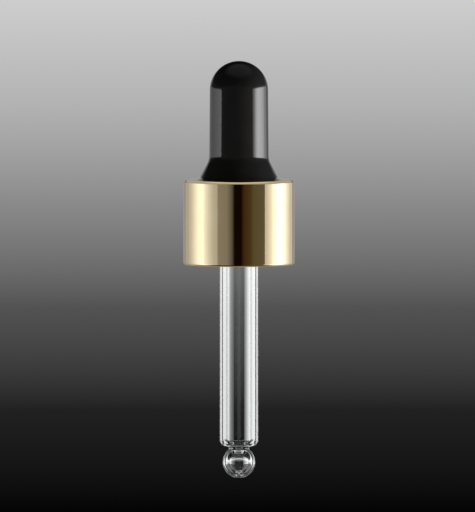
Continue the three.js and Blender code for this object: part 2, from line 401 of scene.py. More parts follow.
bpy.ops.mesh.bridge_edge_loops()
round_ring(plastic_cap, (ROOT_RADIUS, PLATE_LOW), PLATE_EASE, segments=3)
finish_piece(plastic_cap)

# %% [markdown]
# The thread is one ridge that climbs the wall. Its section, a small trapezium, is drawn as a
# plane, stood up at the wall, and swept by a Screw modifier, which turns and lifts at once. Real
# threads fade out at both ends, which comes in the next step.

# %% Model the thread
PITCH = 3.175 * MM
TURNS = 1.6
STEPS_PER_TURN = 60
CREST_RADIUS = 8.2 * MM
RIDGE = {"root": 1.5 * MM, "crest": 0.5 * MM, "buried": 0.2 * MM, "ease": 0.15 * MM}
FADE_LENGTH = 9 * MM  # length of ridge that an end takes along into the wall
thread_low = cap_low.z + 1.4 * MM
ridge_depth = ROOT_RADIUS + RIDGE["buried"] - CREST_RADIUS

start_fresh()
bpy.ops.mesh.primitive_plane_add(size=1, location=(0, 0, 0))
ridge = bpy.context.object
ridge.scale = (ridge_depth, RIDGE["root"], 1)
ridge.rotation_euler = (math.pi / 2, 0, 0)
ridge.location = (CREST_RADIUS + ridge_depth / 2, 0, thread_low)
bpy.ops.object.transform_apply(location=True, rotation=True, scale=True)
select_where(ridge, lambda co: co.x < CREST_RADIUS + TOUCH)
bpy.ops.transform.resize(value=(1, 1, RIDGE["crest"] / RIDGE["root"]))
bpy.ops.mesh.bevel(affect="VERTICES", offset=RIDGE["ease"], segments=3)
bpy.ops.mesh.select_all(action="SELECT")
bpy.ops.mesh.delete(type="ONLY_FACE")
bpy.ops.object.mode_set(mode="OBJECT")
section_points = len(ridge.data.vertices)
apply_modifier(
    ridge,
    "SCREW",
    axis="Z",
    angle=2 * math.pi * TURNS,
    screw_offset=PITCH * TURNS,
    steps=int(STEPS_PER_TURN * TURNS),
    render_steps=int(STEPS_PER_TURN * TURNS),
)
print("thread section has", section_points, "points; ridge has", len(ridge.data.vertices))

# %% [markdown]
# Each end of the ridge is closed with a face, then pushed into the wall. Proportional editing
# takes the neighbouring sections along, less and less, so the thread sinks away as on a real cap.
# The back of the ridge is hidden first, so that it stays inside the wall and does not come out.
# A union then makes the ridge and the cup one solid, as they are in the mould.


# %% Sink the thread's ends and join it to the cap
def on_section(co, turns):
    """Is this point on the ridge's section that lies the given number of turns along?"""
    angle = 2 * math.pi * turns
    radial = Vector((math.cos(angle), math.sin(angle), 0))
    sideways = Vector((-math.sin(angle), math.cos(angle), 0))
    middle = thread_low + PITCH * turns
    same_angle = abs(co.dot(sideways)) < 20 * TOUCH and co.dot(radial) > 0
    return same_angle and abs(co.z - middle) < RIDGE["root"]


for end in (0, TURNS):
    outwards = Vector((math.cos(2 * math.pi * end), math.sin(2 * math.pi * end), 0))
    select_where(ridge, lambda co: on_section(co, end))
    bpy.ops.mesh.edge_face_add()
    select_where(ridge, lambda co: math.hypot(co.x, co.y) > ROOT_RADIUS + RIDGE["buried"] - 20 * TOUCH)
    bpy.ops.mesh.hide()
    select_where(ridge, lambda co: on_section(co, end) and co.dot(outwards) < ROOT_RADIUS)
    bpy.ops.transform.translate(
        value=outwards * (ROOT_RADIUS + RIDGE["buried"] / 2 - CREST_RADIUS),
        use_proportional_edit=True,
        use_proportional_connected=True,
        proportional_edit_falloff="SMOOTH",
        proportional_size=FADE_LENGTH,
    )
    bpy.ops.mesh.reveal(select=False)
    bpy.ops.object.mode_set(mode="OBJECT")
finish_piece(ridge)
ridge_reach = max(math.hypot(vertex.co.x, vertex.co.y) for vertex in ridge.data.vertices)
print("ridge reaches a radius of", round(ridge_reach / MM, 2), "mm inside the wall")
apply_modifier(plastic_cap, "BOOLEAN", operation="UNION", solver="EXACT", object=ridge)
bpy.data.objects.remove(ridge)
finish_piece(plastic_cap)

# %% [markdown]
# ## The sealing washer
#
# A punched ring of foam lies under the plate and seals on the bottle's rim. It is the simplest
# piece, but it is not just a ring: a punch drags the foam's edges round, so both rims are beveled.

# %% Model the sealing washer
WASHER_HOLE = 3.75 * MM
LOWER_EASE = 0.2 * MM
UPPER_EASE = 0.1 * MM

start_fresh()
bpy.ops.mesh.primitive_circle_add(vertices=ROUND, radius=WASHER_HOLE, location=(0, 0, washer_low.z))
foam_washer = bpy.context.object
foam_washer.name = "foam_washer"
bpy.ops.object.transform_apply(location=True)
bpy.ops.object.mode_set(mode="EDIT")
bpy.ops.mesh.select_all(action="SELECT")
pull_ring(
    (WASHER_HOLE, washer_low.z),
    (washer_high.x, washer_low.z),
    (washer_high.x, washer_high.z),
    (WASHER_HOLE, washer_high.z),
)
select_rings(foam_washer, (WASHER_HOLE, washer_high.z), (WASHER_HOLE, washer_low.z))
bpy.ops.mesh.select_mode(type="EDGE")
bpy.ops.mesh.bridge_edge_loops()
for ring in ((WASHER_HOLE, washer_low.z), (washer_high.x, washer_low.z)):
    round_ring(foam_washer, ring, LOWER_EASE, segments=4)
for ring in ((WASHER_HOLE, washer_high.z), (washer_high.x, washer_high.z)):
    round_ring(foam_washer, ring, UPPER_EASE, segments=3)
finish_piece(foam_washer)

# %% [markdown]
# ## The glass pipette
#
# The pipette is drawn from one length of tube. Its end is heated, necked in and blown into a
# small hollow ball with an orifice. Such a shape is all curves, so here the outline is drawn
# first: a single point is extruded along straight stretches and spun round the centre of each
# arc, up the outside and down the inside. Turning the outline once round the axis makes the wall,
# inside and out, which the light needs in order to bend as it does in real glass.

# %% Measure the pipette
GLASS_RADIUS = pipette_high.x
RIM = 0.625 * MM
SHOULDER = Vector((2.45 * MM, 0, -43.75 * MM))
SHOULDER_RADIUS = 1.05 * MM
BALL = Vector((0, 0, -47.75 * MM))
BALL_RADIUS = 2.95 * MM
NECK_FILLET = 0.45 * MM
INNER_SHOULDER = Vector((1.35 * MM, 0, -43.5 * MM))
INNER_SHOULDER_RADIUS = 0.9 * MM
INNER_NECK_FILLET = 1.1 * MM
CAVITY_RADIUS = 1.85 * MM
ORIFICE = 0.5 * MM
ORIFICE_LIP = 0.3 * MM


def fillet_centre(upper, upper_reach, lower, lower_reach):
    """The point that lies at these distances from two centres, on the side away from the axis."""
    across = upper - lower
    along = (lower_reach**2 - upper_reach**2 + across.length_squared) / (2 * across.length)
    aside = math.sqrt(lower_reach**2 - along**2)
    unit = across.normalized()
    return lower + unit * along + Vector((unit.z, 0, -unit.x)) * aside


def point_towards(centre, radius, target):
    """The point on a circle that faces a target."""
    return centre + (target - centre).normalized() * radius


def lip_centre(distance):
    """Centre of the rounding of the orifice's edge, at this distance from the ball's centre."""
    radius = ORIFICE + ORIFICE_LIP
    return BALL + Vector((radius, 0, -math.sqrt(distance**2 - radius**2)))


print("ball", round(2 * BALL_RADIUS / MM, 2), "mm across")
print("bore", round(2 * (GLASS_RADIUS - 2 * RIM) / MM, 2), "mm across")

# %% [markdown]
# The pen is the one selected vertex. Drawing a line extrudes it, and drawing an arc spins it round
# a centre, so every stroke leaves its trail of edges behind. Long straight stretches get a close
# ring at each end, which keeps their shading flat: a tilted normal would bend the light in glass.


# %% Pen strokes for the outline
def draw_to(pen, point):
    bpy.ops.mesh.extrude_vertices_move(TRANSFORM_OT_translate={"value": point - pen})
    return point.copy()


def draw_wall(pen, point):
    """A straight stretch with a close ring at each end."""
    short = (point - pen).normalized() * HOLD
    for stop in (pen + short, point - short, point):
        pen = draw_to(pen, stop)
    return pen


def draw_arc(pen, centre, end, turn, steps):
    """Spins the point round a centre until it faces the end; turn is 1 anticlockwise, -1 clockwise."""
    first = math.atan2(pen.z - centre.z, pen.x - centre.x)
    last = math.atan2(end.z - centre.z, end.x - centre.x)
    swept = (last - first) * turn % (2 * math.pi)
    bpy.ops.mesh.spin(steps=steps, angle=swept * turn, center=centre, axis=(0, 1, 0))
    return point_towards(centre, (pen - centre).length, end)


print("a straight stretch keeps a close ring", round(HOLD / MM, 2), "mm from each end")

# %% [markdown]
# The outline starts at the orifice. It climbs the outside, over ball, neck and shoulder, up the
# tube and round its fire-polished rim, and comes back down the inside to where it began.

# %% Draw the outline
neck = fillet_centre(SHOULDER, SHOULDER_RADIUS + NECK_FILLET, BALL, BALL_RADIUS + NECK_FILLET)
inner_neck = fillet_centre(
    INNER_SHOULDER, INNER_SHOULDER_RADIUS + INNER_NECK_FILLET, BALL, CAVITY_RADIUS + INNER_NECK_FILLET
)
outer_lip = lip_centre(BALL_RADIUS - ORIFICE_LIP)
inner_lip = lip_centre(CAVITY_RADIUS + ORIFICE_LIP)
RIGHT = Vector((1, 0, 0))
rim_centre = Vector((GLASS_RADIUS - RIM, 0, pipette_high.z - RIM))
inside_radius = GLASS_RADIUS - 2 * RIM

start_fresh()
pen = outer_lip - RIGHT * ORIFICE_LIP
bpy.ops.mesh.primitive_plane_add(size=MM, location=pen)
glass_pipette = bpy.context.object
glass_pipette.name = "glass_pipette"
bpy.ops.object.transform_apply(location=True)
bpy.ops.object.mode_set(mode="EDIT")
bpy.ops.mesh.select_all(action="SELECT")
bpy.ops.mesh.merge(type="CENTER")
outline_start = pen.copy()
pen = draw_arc(pen, outer_lip, 2 * outer_lip - BALL, 1, 3)
pen = draw_arc(pen, BALL, neck, 1, 40)
pen = draw_arc(pen, neck, SHOULDER, -1, 12)
pen = draw_arc(pen, SHOULDER, SHOULDER + RIGHT, 1, 12)
pen = draw_wall(pen, Vector((GLASS_RADIUS, 0, rim_centre.z)))
pen = draw_arc(pen, rim_centre, rim_centre - RIGHT, 1, 12)
pen = draw_wall(pen, Vector((inside_radius, 0, INNER_SHOULDER.z)))
pen = draw_arc(pen, INNER_SHOULDER, inner_neck, -1, 10)
pen = draw_arc(pen, inner_neck, BALL, 1, 14)
pen = draw_arc(pen, BALL, inner_lip, -1, 28)
pen = draw_arc(pen, inner_lip, inner_lip - RIGHT, 1, 6)
pen = draw_to(pen, outline_start)
print("outline closes within", round((pen - outline_start).length / MM, 4), "mm")

# %% [markdown]
# Now the outline is turned round the axis. A full spin brings the last copy back onto the first,
# where the doubles are merged and the faces turned outwards.

# %% Turn the outline into glass
bpy.ops.mesh.select_all(action="SELECT")
bpy.ops.mesh.remove_doubles(threshold=TOUCH)
bpy.ops.mesh.select_all(action="SELECT")
bpy.ops.mesh.spin(steps=ROUND, angle=2 * math.pi, center=(0, 0, 0), axis=(0, 0, 1))
finish_piece(glass_pipette, sharp_degrees=60)
print("pipette box", [round(c / MM, 2) for c in glass_pipette.bound_box[0]])
start_fresh()

# %% [markdown]
# ## Effects that several finishes share
#
# Nothing made in a workshop is perfectly even. Two node groups supply that unevenness to every
# material. The first gives slow patches and a fine grain, at scales that each material chooses.
# The second gives a few specks of dust. A group puts out plain values only: what they mean, such
# as a change of roughness or of height, is settled in each material. Small helpers do what the
# mouse does in the node editor: add a node, draw a wire, put in a sum or stretch a range.


# %% Build the shared node groups
def new_group(name, inputs, outputs):
    group = bpy.data.node_groups.new(name, "ShaderNodeTree")
    for socket, default in inputs.items():
        item = group.interface.new_socket(socket, in_out="INPUT", socket_type="NodeSocketFloat")
        item.default_value = default
    for socket in outputs:
        group.interface.new_socket(socket, in_out="OUTPUT", socket_type="NodeSocketFloat")
    return group, group.nodes.new("NodeGroupInput"), group.nodes.new("NodeGroupOutput")


def add_node(tree, kind, inputs=None, **settings):
    node = tree.nodes.new(kind)
    for name, value in settings.items():
        setattr(node, name, value)
    for socket, value in (inputs or {}).items():
        node.inputs[socket].default_value = value
    return node


def wire(source, target):
    source.id_data.links.new(source, target)


def maths(tree, operation, *parts):
    """A Math node on sockets or plain numbers; returns its output."""
    node = add_node(tree, "ShaderNodeMath", operation=operation)
    for place, part in zip(node.inputs, parts):
        if isinstance(part, float):
            place.default_value = part
        else:
            wire(part, place)
    return node.outputs[0]


def remap(tree, value, start, end, low=0.0, high=1.0, easing="LINEAR"):
    """Stretches a value's range from (start, end) to (low, high); returns the output."""
    node = add_node(
        tree,
        "ShaderNodeMapRange",
        {"From Min": start, "From Max": end, "To Min": low, "To Max": high},
        interpolation_type=easing,
    )
    wire(value, node.inputs["Value"])
    return node.outputs["Result"]


NOISE_RANGE = (0.3, 0.7)  # almost all of a noise lies between these values
SPECK_CHANCE = 0.8  # a cell holds a speck where its random value is above this

unevenness, given, result = new_group(
    "unevenness", {"Patch Scale": 100.0, "Grain Scale": 4000.0}, ["Patches", "Grain"]
)
place = add_node(unevenness, "ShaderNodeTexCoord")
for source, target, detail in (("Patch Scale", "Patches", 3.0), ("Grain Scale", "Grain", 5.0)):
    noise = add_node(unevenness, "ShaderNodeTexNoise", {"Detail": detail, "Roughness": 0.55})
    wire(place.outputs["Object"], noise.inputs["Vector"])
    wire(given.outputs[source], noise.inputs["Scale"])
    wire(remap(unevenness, noise.outputs["Fac"], *NOISE_RANGE), result.inputs[target])

dust, given, result = new_group("dust", {"Spacing Scale": 600.0, "Speck Size": 0.08}, ["Specks"])
place = add_node(dust, "ShaderNodeTexCoord")
cells = add_node(dust, "ShaderNodeTexVoronoi")
split = add_node(dust, "ShaderNodeSeparateColor")
wire(place.outputs["Object"], cells.inputs["Vector"])
wire(given.outputs["Spacing Scale"], cells.inputs["Scale"])
wire(cells.outputs["Color"], split.inputs["Color"])
lucky = maths(dust, "GREATER_THAN", split.outputs["Red"], SPECK_CHANCE)
close = maths(dust, "LESS_THAN", cells.outputs["Distance"], given.outputs["Speck Size"])
wire(maths(dust, "MULTIPLY", lucky, close), result.inputs["Specks"])
print("node groups:", [group.name for group in bpy.data.node_groups])

# %% [markdown]
# ## Building a material
#
# Each finish below starts from the Principled shader. Three small steps come back in all of them:
# a colour that wanders between two close tones, a roughness that wanders between two values, and
# a bump that gives light something to catch. Helpers for these steps keep each finish short, so
# that only its own facts remain to be read.


# %% Material helpers
def new_finish(name, plain):
    """A material whose shader has these plain values; returns (material, node tree, shader)."""
    material = bpy.data.materials.new(name)
    material.use_nodes = True
    shader = material.node_tree.nodes["Principled BSDF"]
    for socket, value in plain.items():
        shader.inputs[socket].default_value = value
    return material, material.node_tree, shader


def add_effect(tree, group, **inputs):
    node = add_node(tree, "ShaderNodeGroup", node_tree=group)
    for socket, value in inputs.items():
        node.inputs[socket.replace("_", " ")].default_value = value
    return node


def wander_colour(tree, mask, first, second):
    mix = add_node(tree, "ShaderNodeMix", data_type="RGBA")
    mix.inputs["A"].default_value = (*first, 1)
    mix.inputs["B"].default_value = (*second, 1)
    wire(mask, mix.inputs["Factor"])
    return mix.outputs["Result"]


def colour_over(tree, mask, under, over):
    """Lays one plain colour over another socket's colour where the mask is 1."""
    mix = add_node(tree, "ShaderNodeMix", data_type="RGBA")
    mix.inputs["B"].default_value = (*over, 1)
    wire(mask, mix.inputs["Factor"])
    wire(under, mix.inputs["A"])
    return mix.outputs["Result"]


def wander_value(tree, mask, low, high):
    return remap(tree, mask, 0.0, 1.0, low, high)


def add_bump(tree, shader, height, strength, distance):
    bump = add_node(tree, "ShaderNodeBump", {"Strength": strength, "Distance": distance})
    wire(height, bump.inputs["Height"])
    wire(bump.outputs["Normal"], shader.inputs["Normal"])


# %% [markdown]
# ## Black rubber
#
# The bulb is moulded from black nitrile or natural rubber in a polished mould, so it is nearly
# black and shines, but its highlights have soft edges. The colour is kept just above black and
# drifts a little; the roughness wanders, and a very fine orange peel breaks up the reflections.

# %% Rubber for the bulb
black_rubber, tree, shader = new_finish("black_rubber", {"IOR": 1.52, "Specular IOR Level": 0.3})
uneven = add_effect(tree, unevenness, Patch_Scale=260.0, Grain_Scale=3500.0)
specks = add_effect(tree, dust, Spacing_Scale=700.0, Speck_Size=0.07)
drift = wander_colour(tree, uneven.outputs["Patches"], (0.014, 0.014, 0.0142), (0.019, 0.0188, 0.0188))
dusted = colour_over(tree, specks.outputs["Specks"], drift, (0.04, 0.04, 0.04))
wire(dusted, shader.inputs["Base Color"])
wire(wander_value(tree, uneven.outputs["Patches"], 0.09, 0.13), shader.inputs["Roughness"])
add_bump(tree, shader, uneven.outputs["Grain"], 0.12, 0.01 * MM)
rubber_bulb.data.materials.append(black_rubber)
print(black_rubber.name, "has", len(tree.nodes), "nodes")

# %% [markdown]
# ## Gold anodised aluminium
#
# The shell is polished until it is almost a mirror and anodised in a pale gold, so what it shows
# is mostly the studio. It is a full metal: its colour lives in the reflection. Deep drawing and
# polishing leave lines that run round the shell. They come from a noise stretched flat, so that
# it changes quickly with height and hardly at all round the circle.

# %% Gold for the collar
gold, tree, shader = new_finish("gold_aluminium", {"Metallic": 1.0, "IOR": 1.5})
uneven = add_effect(tree, unevenness, Patch_Scale=180.0, Grain_Scale=2500.0)
specks = add_effect(tree, dust, Spacing_Scale=450.0, Speck_Size=0.05)
place = add_node(tree, "ShaderNodeTexCoord")
flatten = add_node(tree, "ShaderNodeMapping", {"Scale": (0.02, 0.02, 1.0)})
lines = add_node(tree, "ShaderNodeTexNoise", {"Scale": 9000.0, "Detail": 3.0, "Roughness": 0.6})
wire(place.outputs["Object"], flatten.inputs["Vector"])
wire(flatten.outputs["Vector"], lines.inputs["Vector"])
tone = wander_colour(tree, uneven.outputs["Patches"], (0.87, 0.69, 0.40), (0.91, 0.735, 0.45))
dusted = colour_over(tree, specks.outputs["Specks"], tone, (0.55, 0.47, 0.35))
wire(dusted, shader.inputs["Base Color"])
wire(wander_value(tree, uneven.outputs["Patches"], 0.05, 0.085), shader.inputs["Roughness"])
add_bump(tree, shader, lines.outputs["Fac"], 0.05, 0.004 * MM)
gold_shell.data.materials.append(gold)
print(gold.name, "has", len(tree.nodes), "nodes")

# %% [markdown]
# ## White polypropylene
#
# The cap inside is plain moulded plastic. Light sinks in a little before it comes out again, so
# the shader gets some subsurface scattering with a radius of well under a millimetre. A mould's
# spark-eroded wall leaves a fine, even texture.

# %% Plastic for the cap
white_plastic, tree, shader = new_finish(
    "white_plastic",
    {
        "Subsurface Weight": 0.35,
        "Subsurface Radius": (0.6, 0.5, 0.4),
        "Subsurface Scale": 0.8 * MM,
        "IOR": 1.49,
    },
)
uneven = add_effect(tree, unevenness, Patch_Scale=150.0, Grain_Scale=5000.0)
tone = wander_colour(tree, uneven.outputs["Patches"], (0.80, 0.79, 0.76), (0.86, 0.855, 0.835))
wire(tone, shader.inputs["Base Color"])
wire(wander_value(tree, uneven.outputs["Grain"], 0.35, 0.5), shader.inputs["Roughness"])
add_bump(tree, shader, uneven.outputs["Grain"], 0.25, 0.02 * MM)
plastic_cap.data.materials.append(white_plastic)
print(white_plastic.name, "has", len(tree.nodes), "nodes")

# %% [markdown]
# ## Closed-cell foam
#
# The washer is punched from sheet foam. Its skin shows the outlines of the bubbles beneath, which
# is just what a Voronoi texture draws. The cells are about a third of a millimetre across.

# %% Foam for the washer
washer_foam, tree, shader = new_finish("washer_foam", {"Subsurface Weight": 0.2, "Subsurface Scale": MM})
uneven = add_effect(tree, unevenness, Patch_Scale=300.0, Grain_Scale=6000.0)
place = add_node(tree, "ShaderNodeTexCoord")
bubbles = add_node(tree, "ShaderNodeTexVoronoi", {"Scale": 3000.0}, feature="SMOOTH_F1")
wire(place.outputs["Object"], bubbles.inputs["Vector"])
tone = wander_colour(tree, bubbles.outputs["Distance"], (0.84, 0.84, 0.83), (0.9, 0.9, 0.9))
wire(tone, shader.inputs["Base Color"])
wire(wander_value(tree, uneven.outputs["Patches"], 0.65, 0.85), shader.inputs["Roughness"])
add_bump(tree, shader, bubbles.outputs["Distance"], 0.5, 0.05 * MM)
foam_washer.data.materials.append(washer_foam)
print(washer_foam.name, "has", len(tree.nodes), "nodes")

# %% [markdown]
# ## Clear glass
#
# The wall is real, so the shader only has to bend light: full transmission, an index of 1.5, and
# a surface that is smooth except for the faintest handling marks. A trace of grey-green in the
# colour is what soda-lime glass shows along its edges.

# %% Glass for the pipette
clear_glass, tree, shader = new_finish("clear_glass", {"Transmission Weight": 1.0, "IOR": 1.5})
uneven = add_effect(tree, unevenness, Patch_Scale=220.0, Grain_Scale=3000.0)
specks = add_effect(tree, dust, Spacing_Scale=500.0, Speck_Size=0.04)
tone = wander_colour(tree, uneven.outputs["Patches"], (0.965, 0.985, 0.98), (0.985, 0.995, 0.99))
dusted = colour_over(tree, specks.outputs["Specks"], tone, (0.8, 0.8, 0.8))
wire(dusted, shader.inputs["Base Color"])
wire(wander_value(tree, uneven.outputs["Patches"], 0.0, 0.02), shader.inputs["Roughness"])
glass_pipette.data.materials.append(clear_glass)
print(clear_glass.name, "has", len(tree.nodes), "nodes")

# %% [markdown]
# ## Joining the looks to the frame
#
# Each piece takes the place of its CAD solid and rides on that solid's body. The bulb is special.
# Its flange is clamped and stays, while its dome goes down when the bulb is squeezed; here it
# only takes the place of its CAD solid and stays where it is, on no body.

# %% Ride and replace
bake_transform(rubber_bulb)
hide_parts("bulb")

for piece, node, body, slot in (
    (gold_shell, "collar_shell", "collar", "gold_aluminium"),
    (plastic_cap, "threaded_cap", "collar", "white_plastic"),
    (foam_washer, "sealing_washer", "collar", "washer_foam"),
    (glass_pipette, "pipette", "pipette", "clear_glass"),
):
    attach(piece, body)
    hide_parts(node)
    print(piece.name, "stands for", node, "and rides on", body)

# %% [markdown]
# ## The camera
#
# A long lens far away keeps the tube's sides parallel. The camera looks down by less than three
# degrees, which opens the collar's rim into a thin ellipse. The lens follows from the height of
# the picture at the object: a picture that high, at that distance, on a 36 mm sensor.

# %% Place the camera
ELEVATION = math.radians(2.7)
DISTANCE = 1.5
PICTURE_HEIGHT = 93.8 * MM
SENSOR = 36.0
AIM_ASIDE = -0.27 * MM
AIM_ABOVE = 2.44 * MM  # above the middle of the dropper
CLIP = {"near": 0.1, "far": 20.0}

low, high = cad_bounds
aim = Vector((AIM_ASIDE, 0, (low.z + high.z) / 2 + AIM_ABOVE))
camera_data = bpy.data.cameras.new("camera")
camera = bpy.data.objects.new("camera", camera_data)
bpy.context.scene.collection.objects.link(camera)
camera_data.sensor_width = SENSOR
camera_data.lens = SENSOR * DISTANCE / PICTURE_HEIGHT
camera_data.clip_start = CLIP["near"]
camera_data.clip_end = CLIP["far"]
camera.location = aim + Vector((0, -math.cos(ELEVATION), math.sin(ELEVATION))) * DISTANCE
camera.rotation_euler = (math.pi / 2 - ELEVATION, 0, 0)
bpy.context.scene.camera = camera
bpy.context.scene.view_settings.view_transform = "Standard"
print("lens:", round(camera_data.lens), "mm")

# %% [markdown]
# ## The floor
#
# The dropper hangs over a small round floor of pale paper, far enough below to stay out of a
# level picture. Towards its edge the paper turns transparent, so that it melts into the backdrop
# in a picture taken from above. From below it is not there at all, or it would hide the dropper.
# The ball tip bends its view downwards, so the front view would show the ball full of pale paper.
# A ray's length and slant tell how high over the paper it left the glass. Behind the dropper,
# rays from the height of the ball do not see the paper, and the ball stays dark. This is a stage
# trick, not physics. It fades out above and below, so that it draws no line across the tube when
# the pipette is pulled out.

# %% Build the floor
FLOOR_RADIUS = 0.45
FLOOR_DROP = 50 * MM
FADE_START = 0.55  # share of the radius where the paper begins to fade
BALL_REACH = FLOOR_DROP + 7 * MM  # height over the paper of the top of the ball's neck
BALL_FADE = 14 * MM  # over which the rule for the ball fades out, above it and below it
BEHIND = 10 * MM  # the rule starts at the axis and is in full force this far behind it

start_fresh()
bpy.ops.mesh.primitive_circle_add(
    vertices=64, radius=FLOOR_RADIUS, fill_type="NGON", location=(0, 0, low.z - FLOOR_DROP)
)
floor = bpy.context.object
floor.name = "floor"
floor.visible_glossy = False
paper, tree, shader = new_finish("pale_paper", {"Roughness": 0.9})
uneven = add_effect(tree, unevenness, Patch_Scale=12.0, Grain_Scale=1500.0)
tone = wander_colour(tree, uneven.outputs["Patches"], (0.70, 0.70, 0.69), (0.74, 0.74, 0.735))
wire(tone, shader.inputs["Base Color"])
add_bump(tree, shader, uneven.outputs["Grain"], 0.2, 0.1 * MM)
place = add_node(tree, "ShaderNodeTexCoord")
reach = add_node(tree, "ShaderNodeVectorMath", operation="LENGTH")
axes = add_node(tree, "ShaderNodeSeparateXYZ")
sides = add_node(tree, "ShaderNodeNewGeometry")
rays = add_node(tree, "ShaderNodeLightPath")
slant = add_node(tree, "ShaderNodeLayerWeight", {"Blend": 0.5})
clear = add_node(tree, "ShaderNodeBsdfTransparent")
fade = add_node(tree, "ShaderNodeMixShader")
wire(place.outputs["Object"], reach.inputs[0])
wire(place.outputs["Object"], axes.inputs[0])
fade_from = FADE_START * FLOOR_RADIUS
edge = remap(tree, reach.outputs["Value"], fade_from, FLOOR_RADIUS, easing="SMOOTHSTEP")
drop = maths(tree, "SUBTRACT", 1.0, slant.outputs["Facing"])
start = maths(tree, "MULTIPLY", rays.outputs["Ray Length"], drop)
under_neck = remap(tree, start, BALL_REACH, BALL_REACH + BALL_FADE, 1.0, 0.0, "SMOOTHSTEP")
over_tip = remap(tree, start, FLOOR_DROP - BALL_FADE, FLOOR_DROP, easing="SMOOTHSTEP")
from_ball = maths(tree, "MULTIPLY", under_neck, over_tip)
behind = remap(tree, axes.outputs["Y"], 0.0, BEHIND)
in_glass = maths(tree, "MULTIPLY", rays.outputs["Is Transmission Ray"], behind)
hidden = maths(tree, "MULTIPLY", in_glass, from_ball)
gone = maths(tree, "MAXIMUM", edge, sides.outputs["Backfacing"])
wire(maths(tree, "MAXIMUM", gone, hidden), fade.inputs["Fac"])
wire(shader.outputs["BSDF"], fade.inputs[1])
wire(clear.outputs["BSDF"], fade.inputs[2])
wire(fade.outputs["Shader"], tree.nodes["Material Output"].inputs["Surface"])
floor.data.materials.append(paper)
print("floor lies", round(FLOOR_DROP / MM), "mm below the tip")

# %% [markdown]
# ## The backdrop
#
# Behind the dropper, all the way round, stands a sweep that glows from black at the bottom to
# light grey at the top, and fades again far above. Making it glow, instead of lighting
# it, keeps its tones exactly where they are wanted. Only the camera and the rays that go through
# the glass see it, so it shows through the pipette but does not fill the gold with grey. Seen
# through glass its light part ends sooner, which keeps the ball tip dark and its edges crisp.

# %% Build the sweep
SWEEP_RADIUS = 2.2
SWEEP_DEPTH = 6.0  # height of the whole cylinder, so that neither end shows
LIGHT_UP_TO = 0.5  # height over the origin where the sweep begins to fade again
DARK_FROM = 1.0  # and where it has faded
FADED = 0.05
SWEEP_TONES = (  # (share of the picture's height, brightness); the last two are seen through glass
    (0.0, 0.0012),
    (0.2, 0.015),
    (0.4, 0.085),
    (0.6, 0.25),
    (0.8, 0.45),
    (1.0, 0.61),
    (1.12, 0.28),
    (1.35, 0.03),
)

reach_back = DISTANCE * math.cos(ELEVATION) + SWEEP_RADIUS
half_view = math.atan(PICTURE_HEIGHT / 2 / DISTANCE)
sweep_low = camera.location.z - reach_back * math.tan(ELEVATION + half_view)
sweep_high = camera.location.z - reach_back * math.tan(ELEVATION - half_view)
sweep_top = sweep_low + (sweep_high - sweep_low) * SWEEP_TONES[-1][0]

start_fresh()
bpy.ops.mesh.primitive_cylinder_add(
    vertices=128,
    radius=SWEEP_RADIUS,
    depth=SWEEP_DEPTH,
    end_fill_type="NOTHING",
    location=(0, 0, 0),
)
sweep = bpy.context.object
sweep.name = "sweep"
sweep.visible_diffuse = False
sweep.visible_glossy = False
sweep.visible_shadow = False
glow = bpy.data.materials.new("sweep_glow")
glow.use_nodes = True
glow.cycles.emission_sampling = "NONE"
tree = glow.node_tree
tree.nodes.remove(tree.nodes["Principled BSDF"])
place = add_node(tree, "ShaderNodeTexCoord")
split = add_node(tree, "ShaderNodeSeparateXYZ")
rays = add_node(tree, "ShaderNodeLightPath")
tones = add_node(tree, "ShaderNodeValToRGB")
light = add_node(tree, "ShaderNodeEmission")
last_position, last_tone = SWEEP_TONES[-1]
ramp = tones.color_ramp
ramp.elements[0].color = (*[SWEEP_TONES[0][1]] * 3, 1)
ramp.elements[1].color = (*[last_tone] * 3, 1)
for position, tone in SWEEP_TONES[1:-1]:
    ramp.elements.new(position / last_position).color = (tone, tone, tone, 1)
wire(place.outputs["Object"], split.inputs["Vector"])
height = remap(tree, split.outputs["Z"], sweep_low, sweep_top)
highest = remap(tree, rays.outputs["Is Camera Ray"], 0.0, 1.0, 1.0, 1 / last_position)
strength = remap(tree, split.outputs["Z"], LIGHT_UP_TO, DARK_FROM, 1.0, FADED)
wire(maths(tree, "MINIMUM", height, highest), tones.inputs["Fac"])
wire(tones.outputs["Color"], light.inputs["Color"])
wire(strength, light.inputs["Strength"])
wire(light.outputs["Emission"], tree.nodes["Material Output"].inputs["Surface"])
sweep.data.materials.append(glow)
print("sweep fades between", round(sweep_low, 3), "and", round(sweep_high, 3), "m")

# %% [markdown]
# ## Light
#
# A shiny cylinder shows what stands beside it, and nothing else. Tall panels therefore stand in
# a ring round the dropper, and each has a brightness that changes along its width: bright in its
# middle for the glowing bands in the gold, with a hard edge where a dark flat begins. A studio
# would move its panels between one finish and the next. Light linking does the same here: the
# gold, the rubber and the glass each have panels of their own. A panel's energy is worked out
# from the brightness that it should have.


# %% Make a helper for panels
PANEL_DISTANCE = 0.5
COOL = (1.0, 1.07, 1.2)  # daylight panels, a little bluer than white


def light_only(lamp, pieces):
    lamp.light_linking.receiver_collection = bpy.data.collections.new(lamp.name + "_lights")
    for piece in pieces:
        lamp.light_linking.receiver_collection.objects.link(piece)


